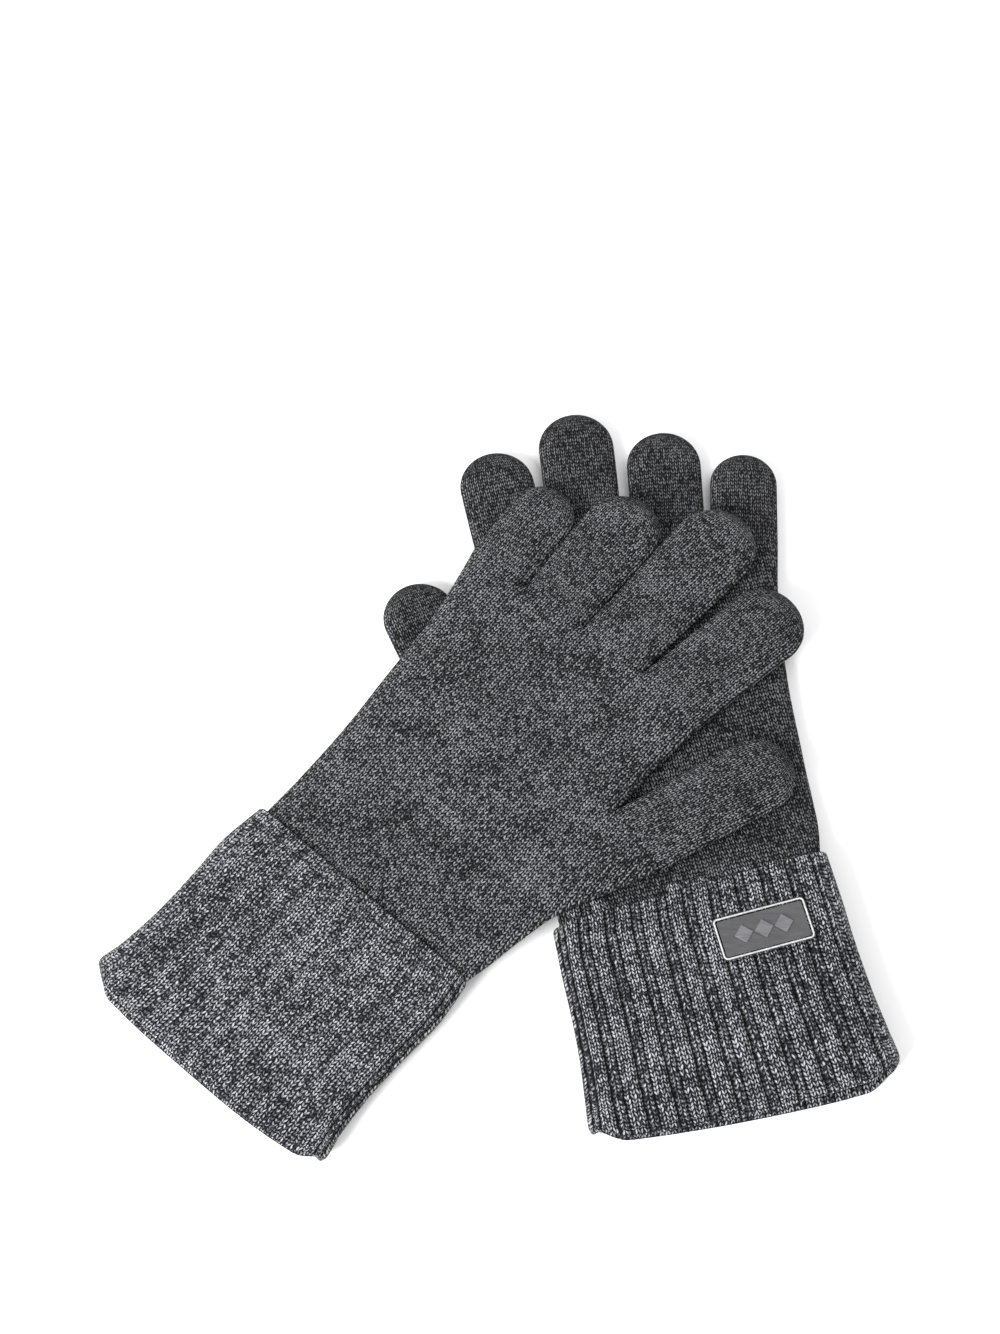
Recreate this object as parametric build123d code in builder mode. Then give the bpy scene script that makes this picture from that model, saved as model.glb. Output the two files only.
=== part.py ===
from build123d import *
import os
from math import cos, radians, sin

# A pair of knitted touchscreen gloves with turned-back ribbed cuffs, laid flat with the palms down.
# The right glove lies on the table and the left glove lies across it. All sizes are in millimetres.

# ---- fabric and thickness -------------------------------------------------------------------
ply = 2.0            # knitted fabric of hands and fingers
rib_ply = 2.2        # ribbed fabric of the wrists and cuffs
room = 4.4           # space left open inside wrists, hands and fingers
run = 0.3            # running gap between pieces that move on each other
soft_edge = 3.0      # rounding along the folded sides of hands and fingers
hand_thick = 2 * ply + room
wrist_thick = 2 * rib_ply + room
cuff_thick = wrist_thick + 2 * run + 2 * rib_ply

# ---- wrists and cuffs, along the arm --------------------------------------------------------
wrist_half = 40.5    # half the flat width of the ribbed wrist
wrist_long = 69.0    # length of the ribbed wrist up to the start of the hand
cuff_long = 68.0     # height of the turned-back cuff
hem_long = 3.5       # bound-off edge of the cuff, nearest the hand
cuff_flare = 2.9     # how much wider each side of the cuff is at its fold
fold_lip = 2.2       # thickness of the rolled fold past the end of the wrist

# ---- touch tips -----------------------------------------------------------------------------
tip_long = 21.0      # length of the conductive fingertip caps
setback = 6.0        # palm edge stops this far behind each finger's hinge

# ---- name label on the right cuff -----------------------------------------------------------
label_long = 28.5
label_wide = 13.2
label_thick = 0.6
border_wide = 1.1
border_high = 1.1
label_along = 48.8   # label centre, along the arm from the fold
label_across = -16.6 # label centre, towards the little finger
label_turn = 2.3     # degrees off square

# Each glove: where the middle of its fold lies, which way the hand points, how high its hand
# lies, where the ramp from the wrist to that height ends, and the side its thumb is on
# (+1 is to the left of the pointing direction).
gloves = {
    "left": dict(at=(-85.1, -92.5), heading=49.0, level=11.7, ramp_end=97.0, thumb_side=-1),
    "right": dict(at=(75.6, -105.1), heading=103.0, level=0.0, ramp_end=79.0, thumb_side=1),
}

# Each finger: hinge place along the arm and across it (towards the thumb), lean in degrees
# towards the thumb, distance from hinge to the centre of the round tip, and half widths at the
# hinge and at the tip.
fingers = {
    "left": {
        "little_finger": (183.0, -39.1, -5.3, 15.7, 10.0, 10.2),
        "ring_finger": (183.0, -16.9, -2.0, 28.3, 11.2, 12.0),
        "middle_finger": (185.0, 6.9, 1.5, 41.4, 11.3, 12.5),
        "index_finger": (182.0, 32.0, 8.5, 34.3, 12.0, 12.2),
        "thumb": (141.0, 55.0, 19.0, 36.0, 11.5, 11.2),
    },
    "right": {
        "little_finger": (181.0, -48.0, -14.5, 16.4, 10.4, 10.3),
        "ring_finger": (183.0, -23.8, -10.5, 26.8, 11.4, 11.5),
        "middle_finger": (185.0, 2.4, -7.5, 37.4, 11.2, 11.6),
        "index_finger": (182.0, 26.3, -1.0, 32.3, 11.2, 11.5),
        "thumb": (141.5, 53.0, 12.0, 33.7, 11.4, 11.2),
    },
}
touch_fingers = ("index_finger", "thumb")

# Outer edges of each palm between the wrist and the fingers, along and across as above.
little_edge = {
    "left": ((86.0, -40.0), (108.0, -40.0), (132.0, -41.2), (158.0, -44.6)),
    "right": ((80.0, -43.0), (100.0, -45.2), (128.0, -47.8), (158.0, -53.0)),
}
index_edge = {
    "left": ((164.0, 42.2), (150.0, 41.4)),
    "right": ((164.0, 37.6), (150.0, 38.6)),
}
thumb_edge = {
    "left": ((112.0, 54.2), (101.0, 47.9), (86.0, 44.2)),
    "right": ((112.0, 55.6), (95.0, 50.2), (82.0, 45.4)),
}

os.makedirs("parts", exist_ok=True)


def export(block, name):
    block.part.label = name
    export_step(block.part, f"parts/{name}.step")


def glove_plane(side):
    """The glove's own plan: x runs from the fold towards the fingers."""
    turn = radians(gloves[side]["heading"])
    x, y = gloves[side]["at"]
    return Plane(origin=(x, y, 0), x_dir=(cos(turn), sin(turn), 0), z_dir=(0, 0, 1))


def cross_plane(side, along):
    """Square across the arm: x runs across the glove, y runs up."""
    return Plane(glove_plane(side).from_local_coords(Vector(along, 0, 0)),
                 x_dir=glove_plane(side).y_dir, z_dir=glove_plane(side).x_dir)


def side_plane(side):
    """The glove seen from its side: x runs along the arm, y runs up."""
    return Plane(glove_plane(side).origin, x_dir=glove_plane(side).x_dir,
                 z_dir=glove_plane(side).y_dir * -1)


def spot(side, along, across):
    """A place in the glove's plan, counted across towards the thumb."""
    return (along, across * gloves[side]["thumb_side"])


def along_finger(side, name, ahead, aside=0.0):
    """A place in the plan, measured from a finger's hinge along and across that finger."""
    along, across, lean = fingers[side][name][:3]
    c, s = cos(radians(lean)), sin(radians(lean))
    return spot(side, along + ahead * c - aside * s, across + ahead * s + aside * c)


def finger_outline(side, name, inset=0.0):
    """Two circles and the hull around them, drawn in the open sketch."""
    reach, base_half, tip_half = fingers[side][name][3:]
    with Locations(along_finger(side, name, 0)):
        Circle(base_half - inset)
    with Locations(along_finger(side, name, reach)):
        Circle(tip_half - inset)
    make_hull()


def passage(side, name):
    """The way from the palm into a finger, drawn in the open sketch."""
    half = fingers[side][name][4] - ply
    with BuildLine() as outline:
        Polyline(along_finger(side, name, -half - 8, -half),
                 along_finger(side, name, 1, -half),
                 along_finger(side, name, 1, half),
                 along_finger(side, name, -half - 8, half), close=True)
    make_face(outline.edges())


def palm_front(side, aside):
    """Palm corners behind the four fingers, from the little finger to the index finger."""
    points = []
    for name in ("little_finger", "ring_finger", "middle_finger", "index_finger"):
        half = fingers[side][name][4] - aside
        points.append(along_finger(side, name, -setback, -half))
        points.append(along_finger(side, name, -setback, half))
    return points


def palm_outline(side, inset=0.0):
    """The palm's outline, drawn in the open sketch."""
    front = palm_front(side, inset)
    thumb_half = fingers[side]["thumb"][4] - inset
    web_in = along_finger(side, "thumb", -setback, -thumb_half)
    web_out = along_finger(side, "thumb", -setback, thumb_half)
    start = wrist_long - (1.0 if inset else 0.0)
    outer = [spot(side, start, -wrist_half + inset)]
    outer += [spot(side, a, q + inset) for a, q in little_edge[side]]
    inner = [spot(side, a, q - inset) for a, q in index_edge[side]]
    heel = [spot(side, a, q - inset) for a, q in thumb_edge[side]]
    heel.append(spot(side, start, wrist_half - inset))
    with BuildLine() as outline:
        Spline(*outer, front[0])
        Polyline(*front)
        Spline(front[-1], *inner, web_in)
        Line(web_in, web_out)
        Spline(web_out, *heel)
        Line(heel[-1], outer[0])
    make_face(outline.edges())


def height_band(side, inset):
    """The hand seen from its side, from the wrist's height to the height it lies at."""
    level = gloves[side]["level"]
    ramp_end = gloves[side]["ramp_end"]
    wrist_low = rib_ply + run + (rib_ply if inset else 0.0)
    wrist_high = cuff_thick - wrist_low
    low = level + inset
    high = level + hand_thick - inset
    start = wrist_long - 5
    with BuildLine() as outline:
        Polyline((start, wrist_low), (wrist_long, wrist_low), (ramp_end, low), (260, low),
                 (260, high), (ramp_end, high), (wrist_long, wrist_high), (start, wrist_high),
                 close=True)
    make_face(outline.edges())


for side in gloves:
    plan = glove_plane(side)
    middle = cuff_thick / 2

    # ---- ribbed wrist: the inner ply that the cuff is turned back over ----------------------
    with BuildPart() as wrist_rib:
        with BuildSketch(cross_plane(side, run)):
            with Locations((0, middle)):
                SlotOverall(2 * wrist_half, wrist_thick)
                SlotOverall(2 * (wrist_half - rib_ply), room, mode=Mode.SUBTRACT)
        extrude(amount=wrist_long - run)
    export(wrist_rib, f"{side}_wrist_rib")

    # ---- cuff: the outer ply, with the rolled fold that closes it past the wrist's end ------
    sleeve_half = wrist_half + run
    with BuildPart() as cuff:
        with BuildSketch(cross_plane(side, -fold_lip)):
            with Locations((0, middle)):
                SlotOverall(2 * (sleeve_half + rib_ply + cuff_flare), cuff_thick)
        with BuildSketch(cross_plane(side, cuff_long)):
            with Locations((0, middle)):
                SlotOverall(2 * (sleeve_half + rib_ply), cuff_thick)
        loft()
        fold_rim = cuff.faces().sort_by(Axis(plan.origin, plan.x_dir))[0]
        fillet(fold_rim.edges(), radius=fold_lip * 0.8)
        with BuildSketch(cross_plane(side, 0)):
            with Locations((0, middle)):
                SlotOverall(2 * (sleeve_half + cuff_flare), wrist_thick + 2 * run)
        with BuildSketch(cross_plane(side, cuff_long)):
            with Locations((0, middle)):
                SlotOverall(2 * sleeve_half, wrist_thick + 2 * run)
        loft(mode=Mode.SUBTRACT)
        with BuildSketch(cross_plane(side, -fold_lip - 1)):
            with Locations((0, middle)):
                SlotOverall(2 * (wrist_half - rib_ply), room)
        extrude(amount=fold_lip + 2, mode=Mode.SUBTRACT)

    hem_line = cross_plane(side, cuff_long - hem_long)
    with BuildPart() as cuff_body:
        add(cuff.part)
        split(bisect_by=hem_line, keep=Keep.BOTTOM)
    export(cuff_body, f"{side}_cuff")
    with BuildPart() as cuff_hem:
        add(cuff.part)
        split(bisect_by=hem_line, keep=Keep.TOP)
    export(cuff_hem, f"{side}_cuff_hem")

    # ---- hand: palm and back in one flat tube, open to the wrist and to every finger --------
    with BuildPart() as hand_room:
        with BuildSketch(plan):
            palm_outline(side, inset=ply)
            for name in fingers[side]:
                passage(side, name)
        extrude(amount=40)
        with BuildSketch(side_plane(side)):
            height_band(side, ply)
        extrude(amount=120, both=True, mode=Mode.INTERSECT)

    with BuildPart() as hand:
        with BuildSketch(plan):
            palm_outline(side)
            for name in fingers[side]:
                with Locations(along_finger(side, name, 0)):
                    Circle(fingers[side][name][4] + run, mode=Mode.SUBTRACT)
        extrude(amount=40)
        with BuildSketch(side_plane(side)):
            height_band(side, 0.0)
        extrude(amount=120, both=True, mode=Mode.INTERSECT)
        add(hand_room.part, mode=Mode.SUBTRACT)
    export(hand, f"{side}_hand")

    # ---- fingers and thumb, the index and thumb with conductive caps ------------------------
    level = gloves[side]["level"]
    for name in fingers[side]:
        lean, reach, base_half, tip_half = fingers[side][name][2:]
        with BuildPart() as finger:
            with BuildSketch(plan.offset(level)):
                finger_outline(side, name)
            extrude(amount=hand_thick)
            fillet(finger.edges().group_by(Axis.Z)[0], radius=soft_edge)
            fillet(finger.edges().group_by(Axis.Z)[-1], radius=soft_edge)
            with BuildSketch(plan.offset(level + ply)):
                finger_outline(side, name, inset=ply)
                passage(side, name)
            extrude(amount=room, mode=Mode.SUBTRACT)
        if name not in touch_fingers:
            export(finger, f"{side}_{name}")
            continue
        turn = radians(gloves[side]["heading"] + lean * gloves[side]["thumb_side"])
        seam = plan.from_local_coords(Vector(*along_finger(side, name, reach + tip_half - tip_long)))
        seam_plane = Plane(seam, x_dir=(0, 0, 1), z_dir=(cos(turn), sin(turn), 0))
        with BuildPart() as finger_body:
            add(finger.part)
            split(bisect_by=seam_plane, keep=Keep.BOTTOM)
        export(finger_body, f"{side}_{name}")
        with BuildPart() as touch_tip:
            add(finger.part)
            split(bisect_by=seam_plane, keep=Keep.TOP)
        export(touch_tip, f"{side}_{name.replace('_finger', '')}_touch_tip")

# ---- label sewn to the right cuff -----------------------------------------------------------
right_plan = glove_plane("right")
label_at = right_plan.from_local_coords(Vector(*spot("right", label_along, label_across)))
label_heading = radians(gloves["right"]["heading"] - 90 + label_turn)
label_plane = Plane(origin=(label_at.X, label_at.Y, cuff_thick),
                    x_dir=(cos(label_heading), sin(label_heading), 0), z_dir=(0, 0, 1))

with BuildPart() as label_patch:
    with BuildSketch(label_plane):
        RectangleRounded(label_long - 2 * border_wide, label_wide - 2 * border_wide, 0.6)
    extrude(amount=label_thick)
export(label_patch, "right_label_patch")

with BuildPart() as label_border:
    with BuildSketch(label_plane):
        RectangleRounded(label_long, label_wide, 1.2)
        RectangleRounded(label_long - 2 * border_wide, label_wide - 2 * border_wide, 0.6,
                         mode=Mode.SUBTRACT)
    extrude(amount=border_high)
    fillet(label_border.edges().group_by(Axis.Z)[-1], radius=0.4)
export(label_border, "right_label_border")

# Plain raised sign in the middle of the patch: a row of three lozenges.
with BuildPart() as label_motif:
    with BuildSketch(label_plane.offset(label_thick)):
        with GridLocations(6.2, 1, 3, 1):
            RegularPolygon(radius=2.9, side_count=4)
    extrude(amount=0.5)
    chamfer(label_motif.faces().sort_by(Axis.Z)[-1].edges(), length=0.2)
export(label_motif, "right_label_motif")

# Overcast stitches lying across the border.
stitch_long = 1.5
stitch_wide = 0.4
with BuildPart() as label_stitches:
    with BuildSketch(label_plane.offset(border_high)):
        for edge_side in (-1, 1):
            with Locations((0, edge_side * (label_wide - border_wide) / 2)):
                with GridLocations(1.45, 1, 18, 1):
                    Rectangle(stitch_wide, border_wide * 0.6)
            with Locations((edge_side * (label_long - border_wide) / 2, 0)):
                with GridLocations(1, 1.45, 1, 7):
                    Rectangle(border_wide * 0.6, stitch_wide)
    extrude(amount=0.2)
export(label_stitches, "right_label_stitches")
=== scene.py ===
"""A pair of knitted touchscreen gloves with turned-back ribbed cuffs, one lying across the other."""
import math

import bmesh
import bpy
import numpy as np
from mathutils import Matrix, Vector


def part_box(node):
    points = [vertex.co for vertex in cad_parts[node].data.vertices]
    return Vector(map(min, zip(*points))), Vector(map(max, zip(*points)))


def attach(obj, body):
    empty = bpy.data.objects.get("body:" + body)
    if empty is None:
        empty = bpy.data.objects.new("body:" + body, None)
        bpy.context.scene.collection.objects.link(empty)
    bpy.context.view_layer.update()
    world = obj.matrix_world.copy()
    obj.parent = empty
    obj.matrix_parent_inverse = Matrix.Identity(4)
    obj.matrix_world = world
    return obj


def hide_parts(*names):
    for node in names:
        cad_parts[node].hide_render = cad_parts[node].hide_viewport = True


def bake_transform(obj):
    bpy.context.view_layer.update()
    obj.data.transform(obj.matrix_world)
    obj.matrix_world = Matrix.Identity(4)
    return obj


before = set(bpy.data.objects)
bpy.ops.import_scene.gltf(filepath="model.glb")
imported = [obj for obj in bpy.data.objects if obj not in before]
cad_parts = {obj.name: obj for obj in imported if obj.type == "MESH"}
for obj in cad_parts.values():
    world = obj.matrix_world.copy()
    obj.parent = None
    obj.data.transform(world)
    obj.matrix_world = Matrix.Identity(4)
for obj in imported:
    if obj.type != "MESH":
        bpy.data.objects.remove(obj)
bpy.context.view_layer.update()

bl_info = {
    "name": "Touchscreen gloves",
    "version": (1, 0, 0),
    "blender": (4, 5, 0),
    "location": "View3D > Sidebar > Gloves",
    "description": "Builds a pair of ribbed-cuff knitted gloves with conductive fingertips",
    "category": "Object",
}

MM = 0.001
EDGE_START = 69.0  # along the arm, where the drawn edges of the hand begin
CUFF_MIDDLE = 6.9  # height of the middle of a wrist and its cuff
CUFF_HALF = 44.0  # typical half width of a cuff
FINGER_STEP = 1.15  # between rows of a finger
CAP_LENGTH = 21.0  # of a conductive cap
LABEL_LONG, LABEL_WIDE = 28.5, 13.2
FINGERS = ("little_finger", "ring_finger", "middle_finger", "index_finger", "thumb")
TIPPED = ("index_finger", "thumb")

# Places are (along the arm from the cuff's fold, across towards the thumb), in millimetres.
# A finger is: hinge along, hinge across, lean towards the thumb in degrees, distance from the
# hinge to the middle of the round tip, half width at the hinge, half width at the tip.
GLOVES = {
    "left": dict(
        at=(-84.5, -93.1), heading=49.0, thumb_side=-1,
        fingers=dict(
            little_finger=(183.0, -39.1, -5.3, 15.7, 10.6, 10.6),
            ring_finger=(183.0, -16.9, -2.0, 28.3, 11.7, 12.6),
            middle_finger=(185.0, 6.9, 1.5, 41.4, 12.0, 13.2),
            index_finger=(182.0, 32.0, 8.5, 34.3, 12.4, 12.6),
            thumb=(141.0, 55.0, 19.0, 36.0, 11.8, 11.9)),
        little_edge=((69.0, -40.0), (86.0, -39.8), (108.0, -40.0), (132.0, -41.2), (158.0, -44.6)),
        thumb_edge=((69.0, 41.5), (77.0, 43.5), (88.0, 45.8), (101.0, 49.6), (112.0, 55.4)),
        index_edge=((150.0, 41.6), (164.0, 42.6)),
        cuff_half=((0, 45.6), (12, 43.9), (24, 43.0), (40, 43.2), (55, 43.8), (68, 42.2)),
        cuff_tilt=0.0, seed=11),
    "right": dict(
        at=(74.7, -104.5), heading=103.0, thumb_side=1,
        fingers=dict(
            little_finger=(181.0, -48.0, -14.5, 16.4, 10.8, 10.8),
            ring_finger=(183.0, -23.8, -10.5, 26.8, 11.8, 12.0),
            middle_finger=(185.0, 2.4, -7.5, 37.4, 11.8, 12.2),
            index_finger=(182.0, 26.3, -1.0, 32.3, 11.6, 12.0),
            thumb=(141.5, 53.0, 12.0, 33.7, 11.8, 11.7)),
        little_edge=((69.0, -41.5), (76.0, -43.2), (100.0, -45.4), (128.0, -47.8), (158.0, -53.0)),
        thumb_edge=((69.0, 41.0), (77.0, 43.5), (88.0, 47.5), (100.0, 51.8), (112.0, 56.0)),
        index_edge=((150.0, 38.8), (164.0, 37.8)),
        cuff_half=((0, 47.2), (10, 46.4), (24, 45.0), (40, 44.2), (55, 44.0), (68, 43.4)),
        cuff_tilt=5.0, seed=29),
}


# ---- sizes and colours that a user may change -------------------------------------------------
class ShapeSizes(bpy.types.PropertyGroup):
    half_thick: bpy.props.FloatProperty(
        name="Half thickness", description="Half the thickness of a hand or finger, in millimetres",
        default=3.9, min=1.0, max=8.0)
    edge_round: bpy.props.FloatProperty(
        name="Edge rounding", description="How far in from its side a hand or finger rolls over, in millimetres",
        default=7.0, min=2.0, max=12.0)
    cuff_thick: bpy.props.FloatProperty(
        name="Cuff thickness", description="Thickness of the flattened cuff, in millimetres",
        default=12.9, min=6.0, max=13.8)
    rib_pitch: bpy.props.FloatProperty(
        name="Rib pitch", description="Distance from rib to rib, in millimetres",
        default=8.4, min=3.0, max=16.0)
    rib_high: bpy.props.FloatProperty(
        name="Rib height", description="How far a rib stands above its groove, in millimetres",
        default=1.5, min=0.0, max=3.0)


class YarnColours(bpy.types.PropertyGroup):
    dark: bpy.props.FloatVectorProperty(
        name="Dark strand", description="Colour of the darker strand", subtype="COLOR", size=3,
        default=(0.010, 0.0105, 0.013), min=0, max=1)
    middle: bpy.props.FloatVectorProperty(
        name="Middle strand", description="Colour between the two strands", subtype="COLOR", size=3,
        default=(0.050, 0.052, 0.061), min=0, max=1)
    pale: bpy.props.FloatVectorProperty(
        name="Pale strand", description="Colour of the paler strand", subtype="COLOR", size=3,
        default=(0.555, 0.56, 0.60), min=0, max=1)
    wale: bpy.props.FloatProperty(
        name="Stitch width", description="Width of one stitch column, in millimetres",
        default=1.68, min=0.5, max=5.0)
    course: bpy.props.FloatProperty(
        name="Stitch height", description="Height of one stitch row, in millimetres",
        default=1.3, min=0.5, max=5.0)


class LabelSizes(bpy.types.PropertyGroup):
    thread: bpy.props.FloatVectorProperty(
        name="Border thread", description="Colour of the border's thread", subtype="COLOR", size=3,
        default=(0.44, 0.44, 0.45), min=0, max=1)
    satin: bpy.props.FloatVectorProperty(
        name="Patch satin", description="Colour of the smooth patch", subtype="COLOR", size=3,
        default=(0.039, 0.039, 0.0435), min=0, max=1)
    stitch_step: bpy.props.FloatProperty(
        name="Stitch step", description="Distance between overcast stitches", subtype="DISTANCE",
        unit="LENGTH", default=0.00068, min=0.0002, max=0.01)


class StageSizes(bpy.types.PropertyGroup):
    tilt: bpy.props.FloatProperty(
        name="Camera height", description="Camera's angle above the table", subtype="ANGLE",
        unit="ROTATION", default=math.radians(67.0))
    distance: bpy.props.FloatProperty(
        name="Camera distance", description="Camera's distance from the gloves", subtype="DISTANCE",
        unit="LENGTH", default=0.82)
    lens: bpy.props.FloatProperty(
        name="Lens", description="Focal length on a 36 mm frame, in millimetres", default=70.0)


def shape():
    return bpy.context.scene.glove_shape


def yarn():
    return bpy.context.scene.glove_yarn


def label():
    return bpy.context.scene.glove_label


# ---- plan of one glove ------------------------------------------------------------------------
def smooth(x):
    x = np.clip(x, 0.0, 1.0)
    return x * x * (3 - 2 * x)


def curve_through(points, at):
    """Smooth curve through (x, y) points, read at the places asked for."""
    p = np.array(points, float)
    x, y = p[:, 0], p[:, 1]
    slope = np.gradient(y, x)
    k = np.clip(np.searchsorted(x, at) - 1, 0, len(x) - 2)
    h = x[k + 1] - x[k]
    t = np.clip((at - x[k]) / h, 0, 1)
    return ((2 * t**3 - 3 * t**2 + 1) * y[k] + (t**3 - 2 * t**2 + t) * h * slope[k]
            + (3 * t**2 - 2 * t**3) * y[k + 1] + (t**3 - t**2) * h * slope[k + 1])


def waves(x, y, seed, size):
    """Slow even unevenness between about -1 and 1, the same on every run."""
    rng = np.random.default_rng(seed)
    total = 0
    for _ in range(7):
        angle, phase, scale = rng.uniform(0, 6.283), rng.uniform(0, 6.283), rng.uniform(0.6, 1.7)
        total = total + np.sin((x * math.cos(angle) + y * math.sin(angle)) * 6.283 * scale / size + phase)
    return total / 4.0


class Glove:
    """One glove's plan in its own coordinates, and its place in the row's frame."""
    SETBACK = 6.0
    RIB_END = 66.0

    def __init__(self, side):
        self.side = side
        self.data = GLOVES[side]
        turn = math.radians(self.data["heading"])
        self.forward = np.array([math.cos(turn), math.sin(turn)])
        self.leftward = np.array([-math.sin(turn), math.cos(turn)])
        self.thumb_side = self.data["thumb_side"]
        self.crotches = self.find_crotches()
        self.outline = self.draw_outline()
        self.drape = None

    def world(self, sq):
        sq = np.asarray(sq, float)
        return (np.array(self.data["at"]) + sq[..., :1] * self.forward
                + sq[..., 1:2] * self.leftward * self.thumb_side)

    def local(self, xy):
        d = np.asarray(xy, float) - np.array(self.data["at"])
        return np.stack([d @ self.forward, (d @ self.leftward) * self.thumb_side], -1)

    def axis(self, name):
        s, q, lean = self.data["fingers"][name][:3]
        c, k = math.cos(math.radians(lean)), math.sin(math.radians(lean))
        return np.array([s, q]), np.array([c, k]), np.array([-k, c])

    def half_width(self, name, u):
        """Half width of a finger at a distance from its hinge."""
        reach, base, tip = self.data["fingers"][name][3:]
        along = base + (tip - base) * smooth(u / reach)
        round_end = np.sqrt(np.maximum(tip**2 - np.maximum(u - reach, 0)**2, 0))
        return np.where(u > reach, round_end, along)

    def capsule_edge(self, name, u, sign):
        hinge, ahead, aside = self.axis(name)
        u = np.asarray(u, float)[..., None]
        return hinge + u * ahead + sign * self.half_width(name, u) * aside

    def find_crotches(self):
        """Points where the fingers part, from the outer side of the little finger to the index."""
        names = FINGERS[:4]
        start = -self.SETBACK
        points = [self.capsule_edge(names[0], start, -1)]
        for a, b in zip(names[:-1], names[1:]):
            points.append((self.capsule_edge(a, start, 1) + self.capsule_edge(b, start, -1)) / 2)
        points.append(self.capsule_edge(names[3], start, 1))
        return points

    def ends(self, name):
        """The two base points of a finger: on its little-finger side and on its thumb side."""
        if name == "thumb":
            return self.capsule_edge(name, -self.SETBACK, -1), self.capsule_edge(name, -self.SETBACK, 1)
        k = FINGERS.index(name)
        return self.crotches[k], self.crotches[k + 1]

    def edge(self, name, u, sign):
        """Side of a finger, leaving its base point and easing onto the finger's own width."""
        base = self.ends(name)[0 if sign < 0 else 1]
        ahead = self.axis(name)[1]
        u = np.asarray(u, float)
        k = smooth((u + self.SETBACK) / 9.0)[..., None]
        return (1 - k) * (base + (u[..., None] + self.SETBACK) * ahead) + k * self.capsule_edge(name, u, sign)

    def finger_rows(self, name, step):
        reach, _, tip = self.data["fingers"][name][3:]
        straight = np.linspace(-self.SETBACK, reach, max(4, int((reach + self.SETBACK) / step)))
        turn = np.linspace(0, math.pi / 2, max(6, int(tip * 1.57 / step)))[1:]
        return np.concatenate([straight, reach + tip * np.sin(turn)])

    def little_side(self, s):
        return curve_through(self.data["little_edge"] + (tuple(self.crotches[0]),), s)

    def thumb_side_edge(self, s):
        inner, outer = self.ends("thumb")
        low = curve_through(self.data["thumb_edge"] + (tuple(outer),), s)
        web = outer[1] + (inner[1] - outer[1]) * (s - outer[0]) / (inner[0] - outer[0])
        high = curve_through((tuple(inner),) + self.data["index_edge"] + (tuple(self.crotches[4]),), s)
        return np.where(s < outer[0], low, np.where(s < inner[0], web, high))

    def draw_outline(self):
        """The whole glove's outline as one dense open line, from wrist to wrist."""
        inner, outer = self.ends("thumb")
        s = np.linspace(self.RIB_END - 20, self.crotches[0][0], 110)
        line = [np.stack([s, self.little_side(np.maximum(s, EDGE_START))], 1)]
        for name in FINGERS[:4]:
            u = self.finger_rows(name, 0.8)
            line += [self.edge(name, u, -1), self.edge(name, u, 1)[::-1]]
        s = np.linspace(inner[0], self.crotches[4][0], 40)
        line.append(np.stack([s, self.thumb_side_edge(s + 1e-6)], 1)[::-1])
        u = self.finger_rows("thumb", 0.8)
        line += [self.edge("thumb", u, -1), self.edge("thumb", u, 1)[::-1]]
        s = np.linspace(self.RIB_END - 20, outer[0] - 0.01, 80)
        line.append(np.stack([s, self.thumb_side_edge(np.maximum(s, EDGE_START))], 1)[::-1])
        return np.concatenate(line)

    def inset(self, sq):
        """How far in from the outline each place lies."""
        a, b = self.outline[:-1], self.outline[1:]
        ab = b - a
        length = np.maximum((ab**2).sum(1), 1e-9)
        flat = sq.reshape(-1, 2)
        out = np.empty(len(flat))
        for i in range(0, len(flat), 2000):
            p = flat[i:i + 2000, None]
            t = np.clip(((p - a) * ab).sum(-1) / length, 0, 1)
            out[i:i + 2000] = np.sqrt((((a + t[..., None] * ab) - p)**2).sum(-1).min(1))
        return out.reshape(sq.shape[:-1])

    def middle(self, sq):
        """Height of the fabric's mid-plane."""
        half = shape().half_thick
        if self.drape is None:
            return CUFF_MIDDLE + (half + 0.1 - CUFF_MIDDLE) * smooth((sq[..., 0] - 68) / 20)
        xy = self.world(sq)
        return self.drape(xy) + half

    def skin(self, sq, up):
        """Height of the back (up is 1) or of the palm (up is -1) of the glove."""
        s = shape()
        d = self.inset(sq)
        t = np.clip(d / s.edge_round, 0, 1)
        bulge = np.sqrt(np.maximum(1 - (1 - t)**2, 0))
        xy = self.world(sq)
        ripple = 0.34 * waves(xy[..., 0], xy[..., 1], self.data["seed"], 42.0) * bulge
        crown = 0.25 * smooth((d - 4) / 22)
        if up > 0:
            return self.middle(sq) + bulge * s.half_thick + ripple + crown
        return self.middle(sq) - bulge**0.7 * s.half_thick


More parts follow.
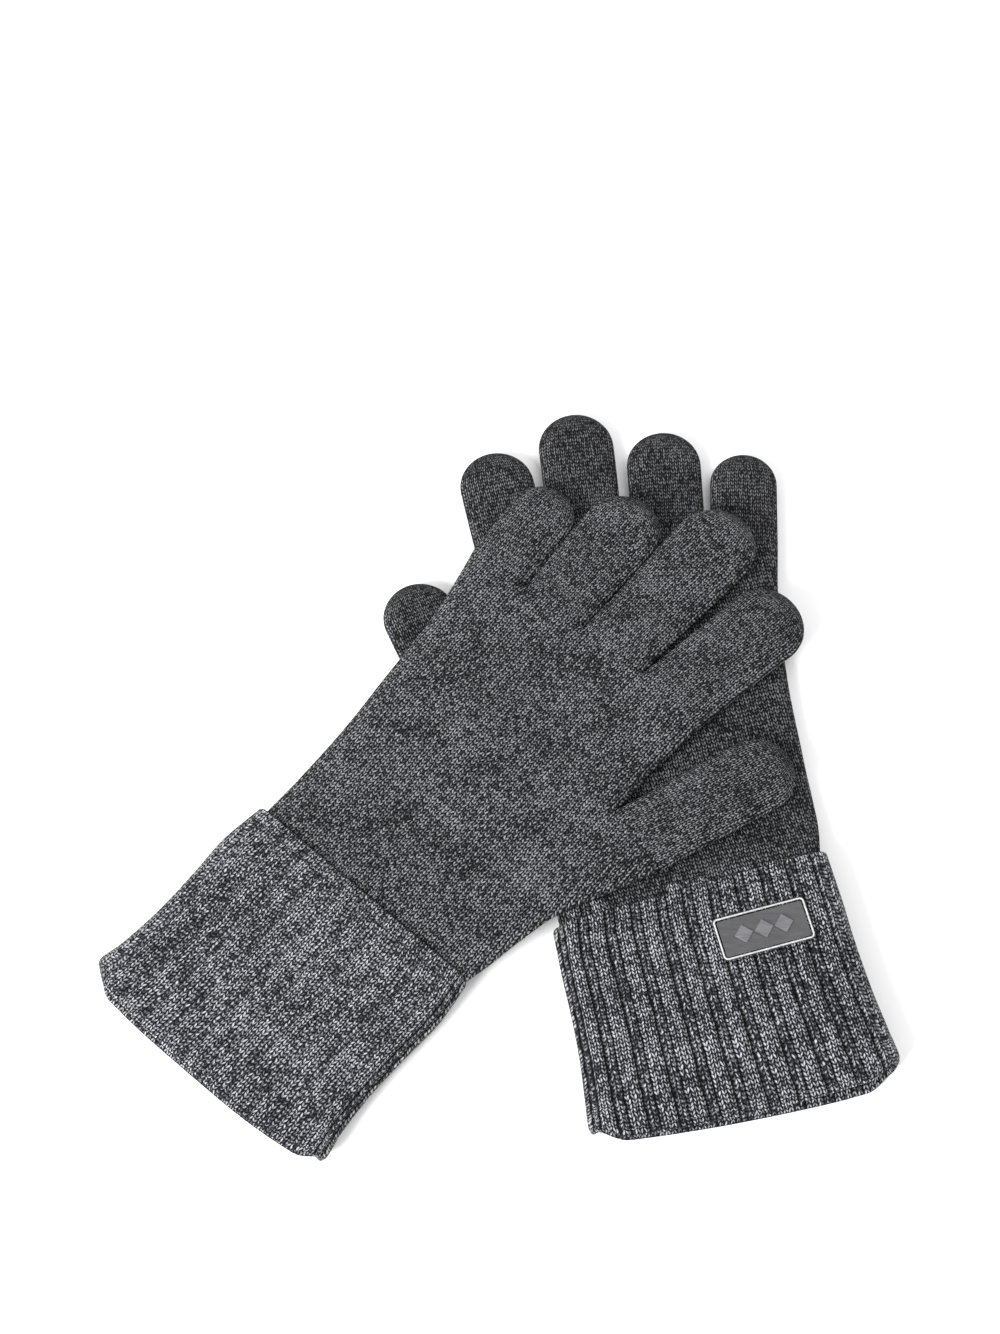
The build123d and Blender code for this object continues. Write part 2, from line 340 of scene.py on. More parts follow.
def drape_over(lower, upper):
    """The height at which the upper glove's palm lies: it rests on the lower glove and sags to the
    table around it. Returns a function of places in the row's frame."""
    step = 2.0  # between places of the height field
    clearance = 0.7  # between the two gloves
    swing_margin = 2.0  # kept free around the lower thumb as it swings
    swing_top = 2 * shape().half_thick + 1.4
    edge_fall = 0.6  # how much lower the neighbour of a held-up place may be
    sag, table_gap, wrist_gap = 0.006, 0.25, 3.0
    xs = np.arange(-128, 128, step)
    ys = np.arange(-132, 132, step)
    gx, gy = np.meshgrid(xs, ys)
    xy = np.stack([gx, gy], -1)
    sq = lower.local(xy)
    inside = np.zeros(gx.shape, bool)
    line = lower.outline
    for a, b in zip(line, np.roll(line, -1, 0)):
        cross = (a[0] <= sq[..., 0]) != (b[0] <= sq[..., 0])
        if cross.any():
            q = a[1] + (sq[..., 0] - a[0]) * (b[1] - a[1]) / (b[0] - a[0] + 1e-12)
            inside ^= cross & (sq[..., 1] < q)
    top = np.zeros(gx.shape)
    top[inside] = lower.skin(sq[inside], 1) + clearance
    hinge_s, hinge_q, lean, reach, _, tip = lower.data["fingers"]["thumb"]
    for swing in (0.0, 6.0, 12.0, 18.0, 25.0):
        angle = math.radians(lean + swing)
        ahead = np.array([math.cos(angle), math.sin(angle)])
        from_hinge = sq - np.array([hinge_s, hinge_q])
        along = np.clip(from_hinge @ ahead, 0, reach)
        away = np.linalg.norm(from_hinge - along[..., None] * ahead, axis=-1)
        top = np.where(away < tip + swing_margin, np.maximum(top, swing_top), top)
    for _ in range(2):
        near = [np.roll(top, shift, axis) for axis in (0, 1) for shift in (-1, 1)]
        top = np.maximum(top, np.max(near, 0) - edge_fall)
    wrist = upper.local(xy)[..., 0] < 74

    def spread(field):
        return (np.roll(field, 1, 0) + np.roll(field, -1, 0)
                + np.roll(field, 1, 1) + np.roll(field, -1, 1)) / 4

    height = np.full(gx.shape, 8.0)
    for _ in range(1400):
        height = np.maximum(np.maximum(top, spread(height) - sag), table_gap)
        height[wrist] = wrist_gap
    for _ in range(90):
        height = spread(height)
    for _ in range(3):
        short = np.maximum(top - height, 0)
        for _ in range(10):
            short = np.maximum(short, spread(short))
        for _ in range(14):
            short = spread(short)
        height = height + short

    def at(place):
        fx = np.clip((place[..., 0] - xs[0]) / step, 0, len(xs) - 1.001)
        fy = np.clip((place[..., 1] - ys[0]) / step, 0, len(ys) - 1.001)
        i, j = fx.astype(int), fy.astype(int)
        a, b = fx - i, fy - j
        return ((1 - a) * (1 - b) * height[j, i] + a * (1 - b) * height[j, i + 1]
                + (1 - a) * b * height[j + 1, i] + a * b * height[j + 1, i + 1])
    return at


_gloves = {}


def gloves():
    if not _gloves:
        _gloves["right"] = Glove("right")
        _gloves["left"] = Glove("left")
        _gloves["left"].drape = drape_over(_gloves["right"], _gloves["left"])
    return _gloves


# ---- meshes -----------------------------------------------------------------------------------
def across(width, round_off, fine, step):
    """Places from 0 to 1 across a width, close together where the sides roll over."""
    turn = np.linspace(0, math.pi / 2, fine + 1)[:-1]
    rim = round_off * (1 - np.cos(turn)) / width
    count = max(3, int((width - 2 * round_off) / step))
    middle = np.linspace(round_off / width, 1 - round_off / width, count)
    return np.concatenate([rim, middle, 1 - rim[::-1]])


def tube(name, top, bottom, uv_top, uv_bottom, flip, close_end):
    """A flat tube from two grids of points that meet along both sides."""
    ring = np.concatenate([top, bottom[:, -2:0:-1]], 1)
    ring_uv = np.concatenate([uv_top, uv_bottom[:, -2:0:-1]], 1)
    last = ring_uv[:, :1].copy()
    last[..., 0] = ring_uv[:, -1:, 0] + (ring_uv[:, 1:2, 0] - ring_uv[:, :1, 0])
    ring_uv = np.concatenate([ring_uv, last], 1)
    return grid_piece(name, ring, ring_uv, flip, close_end)


def grid_piece(name, ring, ring_uv, flip, close_end=False, wrap_rows=False):
    """A mesh from rows of closed rings, with one more column of pattern places than of points."""
    rows, columns = ring.shape[:2]
    verts = ring.reshape(-1, 3) * MM
    steps = rows if wrap_rows else rows - 1
    r, c = np.meshgrid(np.arange(steps), np.arange(columns), indexing="ij")
    r2, c2 = (r + 1) % rows, (c + 1) % columns
    quads = np.stack([r * columns + c, r * columns + c2, r2 * columns + c2, r2 * columns + c], -1)
    quads = quads.reshape(-1, 4)
    r3 = r + 1 if wrap_rows else r2
    uv = np.stack([ring_uv[r, c], ring_uv[r, c + 1], ring_uv[r3, c + 1], ring_uv[r3, c]], -2)
    uv = uv.reshape(-1, 4, 2)
    if flip:
        quads, uv = quads[:, ::-1], uv[:, ::-1]
    mesh = bpy.data.meshes.new(name)
    mesh.from_pydata(verts.tolist(), [], quads.tolist())
    layer = mesh.uv_layers.new(name="knit")
    layer.data.foreach_set("uv", uv.reshape(-1))
    work = bmesh.new()
    work.from_mesh(mesh)
    if close_end:
        bmesh.ops.remove_doubles(work, verts=work.verts, dist=2e-5)
    work.to_mesh(mesh)
    work.free()
    mesh.shade_smooth()
    return place(name, mesh)


def place(name, mesh):
    obj = bpy.data.objects.new(name, mesh)
    bpy.context.scene.collection.objects.link(obj)
    return obj


def stack(xy, z):
    return np.concatenate([xy, z[..., None]], -1)


def knit_places(across_mm, along_mm):
    y = yarn()
    return np.stack([across_mm / y.wale, along_mm / y.course], -1)


def hand_piece(glove):
    """Palm and back from the wrist to the finger bases."""
    parts = np.linspace(0, 1, 16, endpoint=False)
    t = np.array([(k + part) / 4 for k in range(4) for part in parts] + [1.0])
    roll = np.array([0.004, 0.014, 0.032, 0.055])
    t = np.unique(np.concatenate([t, roll, 1 - roll]))
    quarters = np.linspace(0, 1, 5)
    front = np.array([np.interp(t, quarters, [c[axis] for c in glove.crotches])
                      for axis in (0, 1)]).T
    start = 60.0
    n_rows = 118
    tau = np.linspace(0, 1, n_rows)[:, None]
    s = start + (front[None, :, 0] - start) * tau
    from_start = np.maximum(s, EDGE_START)
    low, high = glove.little_side(from_start), glove.thumb_side_edge(from_start)
    front_low, front_high = front[0, 1], front[-1, 1]
    front_share = (front[:, 1] - front_low) / (front_high - front_low)
    share = t[None] * (1 - tau**2) + front_share[None] * tau**2
    q = low + (high - low) * share
    sq = np.stack([s, q], -1)
    sq[-1] = front
    top = stack(glove.world(sq), glove.skin(sq, 1))
    bottom = stack(glove.world(sq), glove.skin(sq, -1))
    uv_top = knit_places(sq[..., 1] + 200.0, sq[..., 0] + 30.0)
    uv_bottom = knit_places(400.0 - sq[..., 1], sq[..., 0] + 30.0)
    obj = tube(f"{glove.side}_hand_knit", top, bottom, uv_top, uv_bottom,
               glove.thumb_side > 0, False)
    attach(obj, f"{glove.side}_hand")
    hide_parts(f"{glove.side}_hand")
    return obj


def finger_grid(glove, name):
    """Rows of places from a finger's base to its tip, and the knit's places on both faces."""
    u = glove.finger_rows(name, FINGER_STEP)
    reach, base, tip = glove.data["fingers"][name][3:]
    t = across(2 * base, 6.5, 6, 1.2)
    a, b = glove.edge(name, u, -1), glove.edge(name, u, 1)
    sq = a[:, None] + (b - a)[:, None] * t[None, :, None]
    wide = 2 * base + 5.0
    shift = 40 + 30 * FINGERS.index(name)
    lay = t[None] * wide + 0 * u[:, None]
    side = np.stack([u, glove.half_width(name, u)], 1)
    arc = np.cumsum(np.concatenate([[0], np.linalg.norm(np.diff(side, axis=0), axis=1)]))
    length = np.where(u > reach, arc - arc[0] - glove.SETBACK, u)[:, None] + 0 * t[None]
    uv_top = knit_places(lay + shift, length + 60.0)
    uv_bottom = knit_places(shift + 2 * wide - lay, length + 60.0)
    return u, sq, uv_top, uv_bottom


def finger_part(glove, name, piece, low, high):
    u, sq, uv_top, uv_bottom = finger_grid(glove, name)
    keep = (u >= low - 1e-6) & (u <= high + 1e-6)
    sq, uv_top, uv_bottom = sq[keep], uv_top[keep], uv_bottom[keep]
    top = stack(glove.world(sq), glove.skin(sq, 1))
    bottom = stack(glove.world(sq), glove.skin(sq, -1))
    closed = high > u[-1] - 0.5
    return tube(piece, top, bottom, uv_top, uv_bottom, glove.thumb_side > 0, closed)


def tip_seam(glove, name):
    """The row nearest to where the conductive cap starts."""
    reach, _, tip = glove.data["fingers"][name][3:]
    u = glove.finger_rows(name, FINGER_STEP)
    return u[np.argmin(abs(u - (reach + tip - CAP_LENGTH)))]


def blend_finger(glove, name, obj):
    hinge, ahead, _ = glove.axis(name)
    start = glove.world(hinge - ahead * glove.SETBACK) * MM
    end = glove.world(hinge + ahead * 7.0) * MM
    z = float(glove.middle(hinge[None])[0]) * MM
    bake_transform(obj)


# ---- cuffs ------------------------------------------------------------------------------------
def rib_profile(arc):
    """Relief across the rib: a broad raised band of three columns, then a narrower sunk pair."""
    x = (arc / shape().rib_pitch) % 1.0
    band = smooth(x / 0.10) * (1 - smooth((x - 0.50) / 0.12))
    pair = 0.68 * smooth((x - 0.64) / 0.07) * (1 - smooth((x - 0.90) / 0.08))
    return np.maximum(band, pair)


def fold_bow(x, along):
    """How far the folded end bows outwards, most at the middle of the cuff."""
    return -2.2 * (1 - (x / 46.0)**2) * smooth((24.0 - along) / 24.0)


def cuff_ring(half, thick, arcs):
    """Places on a flattened ring at given shares of its way round: across, height, outward normal."""
    r = thick / 2
    flat = 2 * (half - r)
    total = 2 * flat + 2 * math.pi * r
    p = arcs * total
    x, z = np.zeros_like(p), np.zeros_like(p)
    nx, nz = np.zeros_like(p), np.zeros_like(p)
    first = p < flat
    x[first], z[first], nz[first] = -flat / 2 + p[first], r, 1
    second = (p >= flat) & (p < flat + math.pi * r)
    a = (p[second] - flat) / r
    x[second], z[second] = flat / 2 + r * np.sin(a), r * np.cos(a)
    nx[second], nz[second] = np.sin(a), np.cos(a)
    third = (p >= flat + math.pi * r) & (p < 2 * flat + math.pi * r)
    x[third], z[third], nz[third] = flat / 2 - (p[third] - flat - math.pi * r), -r, -1
    fourth = p >= 2 * flat + math.pi * r
    a = (p[fourth] - 2 * flat - math.pi * r) / r
    x[fourth], z[fourth] = -flat / 2 - r * np.sin(a), -r * np.cos(a)
    nx[fourth], nz[fourth] = -np.sin(a), -np.cos(a)
    return x, z, nx, nz


def cuff_rows(glove, hem):
    """The cuff's own path: up the outside, over an edge, down the inside, round the fold."""
    ply = 2.6
    if hem:
        out = np.linspace(64.5, 68.0, 5)
        turn = np.linspace(0, math.pi, 7)[1:-1]
        return ([(s, 0.0) for s in out]
                + [(68.0 + 1.0 * math.sin(a), ply / 2 * (1 - math.cos(a))) for a in turn]
                + [(s, ply) for s in out[::-1]])
    out = np.linspace(0.0, 64.6, 58)
    back = np.linspace(64.6, 0.0, 18)
    turn = np.linspace(0, math.pi, 10)[1:-1]
    return ([(s, 0.0) for s in out] + [(s, ply) for s in back]
            + [(-2.3 * math.sin(a), ply / 2 * (1 + math.cos(a))) for a in turn])


def cuff_piece(glove, hem):
    """The turned-back ply as a ribbed sleeve with its rolled fold, or its bound-off edge."""
    s = shape()
    rows = cuff_rows(glove, hem)
    pitch_count = round(2 * (2 * CUFF_HALF) / s.rib_pitch + 2)
    columns = pitch_count * 12
    arcs = (np.arange(columns) + 0.5) / columns
    ring, uv = [], []
    run = 0.0
    before = None
    for along, depth in rows:
        half = float(curve_through(glove.data["cuff_half"], np.array([along]))[0])
        thick = s.cuff_thick - 1.2 * float(smooth((along - 58) / 12))
        x, z, nx, nz = cuff_ring(half, thick, arcs)
        rib = rib_profile(arcs * pitch_count * s.rib_pitch)
        strong = 1.0 if glove.side == "right" else 0.7
        relief = (rib - 1.0) * s.rib_high * strong * (1 - 0.75 * float(smooth(-along / 2.5)))
        if hem:
            relief = relief * 0.8
        if depth > 0.1:
            relief = relief * 0.3
        push = relief - depth
        share = (x / CUFF_HALF + 1) / 2
        q = x + nx * push
        level = np.full_like(q, along)
        wobble = 0.7 * waves(q, level, glove.data["seed"] + 3, 60.0)
        lift = np.where(nz > 0, 0.35 * waves(q, level, glove.data["seed"] + 5, 46.0), 0.0)
        a = along - glove.data["cuff_tilt"] * share * smooth(along / 68.0) + wobble * 0.6
        bow = fold_bow(x, along)
        droop = (-1.4 + 3.0 * share) * smooth(-nz) * smooth((10 - along) / 10.0)
        corner = 3.0 * smooth((np.abs(x) - 36.0) / 9.0) * smooth((12.0 - along) / 12.0)
        a = a + bow + droop + corner
        zz = CUFF_MIDDLE + (z + nz * push) + lift * smooth(np.abs(nz))
        ring.append(stack(glove.world(np.stack([a, q], -1)), zz))
        here = np.array([along, depth])
        run += 0.0 if before is None else float(np.linalg.norm(here - before))
        before = here
        u = np.arange(columns + 1) / columns * pitch_count * s.rib_pitch
        uv.append(np.stack([u / (s.rib_pitch / 5), np.full(columns + 1, run / yarn().course)], -1))
    ring = np.array(ring)
    ring[..., 2] = np.maximum(ring[..., 2], 0.15)
    uv.append(uv[0] + np.array([0, run / yarn().course + 1.0]))
    piece = f"{glove.side}_cuff_hem_edge" if hem else f"{glove.side}_cuff_rib"
    obj = grid_piece(piece, ring, np.array(uv), glove.thumb_side < 0, False, wrap_rows=True)
    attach(obj, f"{glove.side}_cuff")
    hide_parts(f"{glove.side}_cuff_hem" if hem else f"{glove.side}_cuff")
    return obj


def wrist_piece(glove):
    """The inner ply, seen in the mouth of the glove and when the cuff is turned down."""
    s = shape()
    ply = 2.0
    out = np.linspace(0.6, 69.0, 40)
    rows = ([(a, 0.0) for a in out] + [(69.4, ply / 2)] + [(a, ply) for a in out[::-1]] + [(0.2, ply / 2)])
    pitch_count = 22
    columns = pitch_count * 10
    arcs = (np.arange(columns) + 0.5) / columns
    ring, uv = [], []
    for k, (along, depth) in enumerate(rows):
        x, z, nx, nz = cuff_ring(40.2, 8.5, arcs)
        relief = (rib_profile(arcs * pitch_count * s.rib_pitch) - 1.0) * 0.7
        push = relief * (0.4 if depth > 0.1 else 1.0) - depth
        bow = fold_bow(x, along)
        q = x + nx * push
        ring.append(stack(glove.world(np.stack([along + bow, q], -1)), CUFF_MIDDLE + z + nz * push))
        u = np.arange(columns + 1) / columns * pitch_count * 5
        uv.append(np.stack([u, np.full(columns + 1, k * 1.75 / yarn().course)], -1))
    uv.append(uv[0] + np.array([0, (k + 1) * 1.75 / yarn().course]))
    obj = grid_piece(f"{glove.side}_wrist_inner_ply", np.array(ring), np.array(uv),
                     glove.thumb_side < 0, False, wrap_rows=True)
    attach(obj, f"{glove.side}_hand")
    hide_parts(f"{glove.side}_wrist_rib")
    return obj


# ---- shader maths -----------------------------------------------------------------------------
class Value:
    """A node socket that can be used in sums."""

    def __init__(self, shade, socket):
        self.shade = shade
        self.socket = socket

    def maths(self, operation, *others):
        return self.shade.node("ShaderNodeMath", dict(operation=operation), [self, *others])[0]

    def __add__(self, other):
        return self.maths("ADD", other)

    def __sub__(self, other):
        return self.maths("SUBTRACT", other)

    def __rsub__(self, other):
        return self.shade.node("ShaderNodeMath", dict(operation="SUBTRACT"), [other, self])[0]

    def __mul__(self, other):
        return self.maths("MULTIPLY", other)

    def __truediv__(self, other):
        return self.maths("DIVIDE", other)

    def __pow__(self, other):
        return self.maths("POWER", other)

    def fraction(self):
        return self.maths("FRACT")

    def floor(self):
        return self.maths("FLOOR")

    def size(self):
        return self.maths("ABSOLUTE")

    def sine(self):
        return self.maths("SINE")

    def most(self, other):
        return self.maths("MAXIMUM", other)

    def least(self, other):
        return self.maths("MINIMUM", other)

    def eased(self, low, high):
        return self.shade.node("ShaderNodeMapRange", dict(interpolation_type="SMOOTHSTEP"),
                               {"Value": self, "From Min": low, "From Max": high})[0]


class Nodes:
    """Adds nodes to one tree and joins them."""

    def __init__(self, tree):
        self.tree = tree

    def feed(self, socket, value):
        if isinstance(value, Value):
            self.tree.links.new(value.socket, socket)
        elif hasattr(value, "__len__") and len(value) == 3 and len(socket.default_value) == 4:
            socket.default_value = (*value, 1.0)
        else:
            socket.default_value = value

    def node(self, kind, settings=None, inputs=None):
        """Adds a node: its settings first, then its sockets by order or by name."""
        node = self.tree.nodes.new(kind)
        for key, value in (settings or {}).items():
            if key == "stops":
                ramp = node.color_ramp
                while len(ramp.elements) < len(value):
                    ramp.elements.new(0.5)
                for element, (position, colour) in zip(ramp.elements, value):
                    element.position = position
                    element.color = (*colour, 1.0)
            else:
                setattr(node, key, value)
        pairs = inputs.items() if isinstance(inputs, dict) else enumerate(inputs or [])
        for key, value in pairs:
            self.feed(node.inputs[key], value)
        return [Value(self, out) for out in node.outputs if out.enabled]


class Shade(Nodes):
    """Builds one material's nodes."""

    def __init__(self, name):
        self.material = bpy.data.materials.new(name)
        self.material.use_nodes = True
        super().__init__(self.material.node_tree)
        self.principled = self.tree.nodes["Principled BSDF"]

    def mix(self, factor, a, b):
        node = self.tree.nodes.new("ShaderNodeMix")
        node.data_type = "RGBA"
        colour = [socket for socket in node.inputs if socket.type == "RGBA"]
        self.feed(node.inputs[0], factor)
        self.feed(colour[0], a)
        self.feed(colour[1], b)
        return Value(self, [out for out in node.outputs if out.type == "RGBA"][0])

    def finish(self, **sockets):
        for key, value in sockets.items():
            self.feed(self.principled.inputs[key.replace("_", " ")], value)
        return self.material


def stitches(shade, ribbed, groove_shade_depth):
    """Places across the pattern, places along each strand, the knit's height, each strand's number,
    the painted shade in the grooves between ribs, and how far each place is from the gap between columns."""
    place_node = shade.node("ShaderNodeUVMap", dict(uv_map="knit"))[0]
    u, v, _ = shade.node("ShaderNodeSeparateXYZ", None, [place_node])
    wander = shade.node("ShaderNodeTexNoise", dict(noise_dimensions="2D"),
                        {"Vector": place_node, "Scale": 0.35, "Detail": 2.0})[0]
    u = u + (wander - 0.5) * 0.5
    v = v + (wander - 0.5) * 0.9
    side = (u.fraction() - 0.5).size()
    row = v - side * 1.5
    phase = row.fraction()
    leg = (phase * math.pi).sine().most(0.0) ** 0.6
    column = (side * (2 * math.pi)).sine().most(0.0) ** 0.55
    height = leg * (column * 0.72 + 0.28) * (1 - side.eased(0.36, 0.5) * 0.55)
    strand_u = (u * 2.0).floor()
    strand_v = row.floor()
    along_strand = shade.node("ShaderNodeCombineXYZ", None, [u * 2.3, row * 0.8, 0.0])[0]
    # groove is painted shade: 1 leaves the colour as it is, lower values darken the rib grooves
    groove_shade = 1.0
    if ribbed:
        step = (u / 5.0).fraction()
        sunk = step.eased(0.56, 0.64) * (1 - step.eased(0.96, 1.0))
        hump = ((v + u.floor() * 0.5).fraction() * math.pi).sine().most(0.0)
        purl = hump * (side * -1.2 + 1.0)
        height = height * (1 - sunk * 0.4) + purl * sunk * 0.4
        # painted shade: darkens the narrow grooves on both sides of each rib's sunk pair
        groove_shade = 1 - (step.eased(0.54, 0.60) * (1 - step.eased(0.62, 0.69))
                      + step.eased(0.89, 0.96) + (1 - step.eased(0.0, 0.06))).least(1.0) * groove_shade_depth
    return place_node, along_strand, height, strand_u, strand_v, groove_shade, column


def knit_material(name, ribbed=False, bright=1.0, rough=0.92, sheen=0.02, column_shade=0.25,
                  groove_shade_depth=0.72):
    """Marled wool: a dark and a pale strand twisted together, in stocking stitch or in rib, with painted shade
    in its hollows and a painted highlight on its raised legs.
    """
    y = yarn()
    shade = Shade(name)
    (place_node, along_strand, height, strand_u, strand_v, groove_shade,
     column) = stitches(shade, ribbed, groove_shade_depth)
    key = shade.node("ShaderNodeCombineXYZ", None, [strand_u, strand_v, 0.0])[0]
    each = shade.node("ShaderNodeTexWhiteNoise", dict(noise_dimensions="2D"), {"Vector": key})[0]
    fleck = shade.node("ShaderNodeTexNoise", dict(noise_dimensions="2D"),
                       {"Vector": along_strand, "Scale": 1.0, "Detail": 2.0, "Roughness": 0.6})[0]
    fibre = shade.node("ShaderNodeTexNoise", dict(noise_dimensions="2D"),
                       {"Vector": place_node, "Scale": 9.0, "Detail": 2.0})[0]
    cloud = shade.node("ShaderNodeTexNoise", dict(noise_dimensions="2D"),
                       {"Vector": place_node, "Scale": 0.11, "Detail": 3.0})[0]
    # the (height - 0.5) term is a painted highlight that makes raised stitch legs paler; the other terms are the
    # marl's own random mix
    tone = ((each - 0.5) * 0.36 + (fleck - 0.5) * 1.15 + (height - 0.5) * 0.62 + 0.46
            + (cloud - 0.5) * 0.36)
    dark, middle, pale = (tuple(c * bright for c in strand) for strand in (y.dark, y.middle, y.pale))
    colour = shade.node("ShaderNodeValToRGB",
                        dict(stops=[(0.08, dark), (0.48, middle), (0.90, pale)]), [tone])[0]
    # painted shade in the gaps between the stitch columns
    column_gap_shade = 1 - (1 - column.eased(0.35, 0.95)) * column_shade
    # painted shade: the knit's low places, the rib grooves and the column gaps are darkened towards a deep dark
    colour = shade.mix(height.eased(0.18, 0.74) * groove_shade * column_gap_shade,
                       tuple(c * 0.30 for c in dark), colour)
    relief = height + (fleck - 0.5) * 0.5 + (fibre - 0.5) * 0.25
    bump = shade.node("ShaderNodeBump", None, {"Strength": 1.0, "Distance": 0.0006, "Height": relief})[0]
    roughness = (fibre - 0.5) * 0.15 + rough
    return shade.finish(Base_Color=colour, Roughness=roughness, Normal=bump, Sheen_Weight=sheen,
                        Sheen_Roughness=0.45, Specular_IOR_Level=0.08)


def satin_material(name, colour, along=900.0, around=160.0, rough=0.45, bump_mm=0.05):
    """Smooth fine weave with a brushed direction."""
    shade = Shade(name)
    where = shade.node("ShaderNodeTexCoord")[3]
    turned = shade.node("ShaderNodeMapping", None,
                        {"Vector": where, "Rotation": (0, 0, math.radians(38)),
                         "Scale": (around, along, 300.0)})[0]
    grain = shade.node("ShaderNodeTexNoise", None,
                       {"Vector": turned, "Scale": 1.0, "Detail": 4.0, "Roughness": 0.7})[0]
    tone = shade.mix(grain.eased(0.3, 0.7), tuple(c * 0.72 for c in colour),
                     tuple(min(1, c * 1.3) for c in colour))
    bump = shade.node("ShaderNodeBump", None,
                      {"Strength": 0.7, "Distance": bump_mm * MM, "Height": grain})[0]
    return shade.finish(Base_Color=tone, Roughness=(grain - 0.5) * 0.2 + rough, Normal=bump,
                        Sheen_Weight=0.2)


def dress(obj, material):
    obj.data.materials.clear()
    obj.data.materials.append(material)


_materials = {}


def material(kind):
    if kind not in _materials:
        twist = 3000.0, 700.0, 0.6
        makers = {
            "plain": lambda: knit_material("charcoal_marl_plain_knit", bright=0.465),
            # the right glove's copy of the plain knit is darker: painted shade on the glove that lies underneath
            "plain_painted_shade": lambda: knit_material(
                "charcoal_marl_plain_knit_painted_shade", bright=0.32, column_shade=0.5),
            # the rib copies are set brighter than the plain knit: painted light on the cuffs, which face the
            # lamp
            "rib_left": lambda: knit_material(
                "charcoal_marl_rib_knit", ribbed=True, bright=0.83, groove_shade_depth=0.42),
            # the right glove's rib copy is darker, with deeper painted shade in its grooves: painted shade on
            # the lower glove
            "rib_right": lambda: knit_material(
                "charcoal_marl_rib_knit_painted_shade", ribbed=True, bright=0.80, groove_shade_depth=0.85),
            "touch_left": lambda: knit_material("conductive_yarn_knit", bright=0.45, column_shade=0.97),
            # the right glove's caps are darker: painted shade on the glove that lies underneath
            "touch_right": lambda: knit_material(
                "conductive_yarn_knit_painted_shade", bright=0.36, column_shade=0.95),
            "patch": lambda: satin_material("label_satin", tuple(label().satin)),
            "sign": lambda: satin_material(
                "label_raised_satin", tuple(c * 2.4 for c in label().satin), 2600.0, 300.0),
            "sewing": lambda: satin_material(
                "label_sewing_thread", tuple(c * 0.3 for c in label().satin), *twist),
            "thread": lambda: satin_material("label_thread", tuple(label().thread), *twist),
        }
        _materials[kind] = makers[kind]()
    return _materials[kind]


# ---- label ------------------------------------------------------------------------------------
def label_frame():
    """Centre of the CAD label's border, its long and short directions, and its lowest height."""
    low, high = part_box("right_label_border")
    turn = math.radians(GLOVES["right"]["heading"] - 90 + 2.3)
    centre = np.array([(low[0] + high[0]) / 2, (low[1] + high[1]) / 2])
    long = np.array([math.cos(turn), math.sin(turn)])
    return centre, long, np.array([-long[1], long[0]]), low[2]


def label_path(long, wide, corner, step):
    """A rounded rectangle as a closed list of places."""
    points = []
    for k, (cx, cy) in enumerate(((1, 1), (-1, 1), (-1, -1), (1, -1))):
        for a in np.linspace(0, math.pi / 2, 7):
            angle = a + k * math.pi / 2
            points.append((cx * (long / 2 - corner) + corner * math.cos(angle),
                           cy * (wide / 2 - corner) + corner * math.sin(angle)))
    points = np.array(points + points[:1])
    run = np.concatenate([[0], np.cumsum(np.linalg.norm(np.diff(points, axis=0), axis=1))])
    n = int(round(run[-1] / step))
    at = np.linspace(0, run[-1], n, endpoint=False)
    return np.stack([np.interp(at, run, points[:, axis]) for axis in (0, 1)], 1)


def cord_mesh(name, path, height, radius, strands, twist):
    """A twisted cord along a closed path on the label."""
    centre, long, short, floor_z = label_frame()
    n = len(path)
    ahead = np.roll(path, -1, 0) - np.roll(path, 1, 0)
    ahead /= np.linalg.norm(ahead, axis=1)[:, None]
    aside = np.stack([-ahead[:, 1], ahead[:, 0]], 1)
    ring = []
    for k in range(n):
        a = np.linspace(0, 2 * math.pi, 12, endpoint=False)
        r = radius * (1 + 0.16 * np.cos(strands * (a - twist * k)))
        place_xy = path[k] + (r * np.cos(a))[:, None] * aside[k]
        xy = centre + (place_xy[:, :1] * long + place_xy[:, 1:] * short) * MM
        ring.append(np.concatenate([xy / MM, (floor_z / MM + height + r * np.sin(a))[:, None]], 1))
    ring = np.array(ring)
    uv = np.zeros((n + 1, 13, 2))
    return grid_piece(name, ring, uv, False, False, wrap_rows=True)


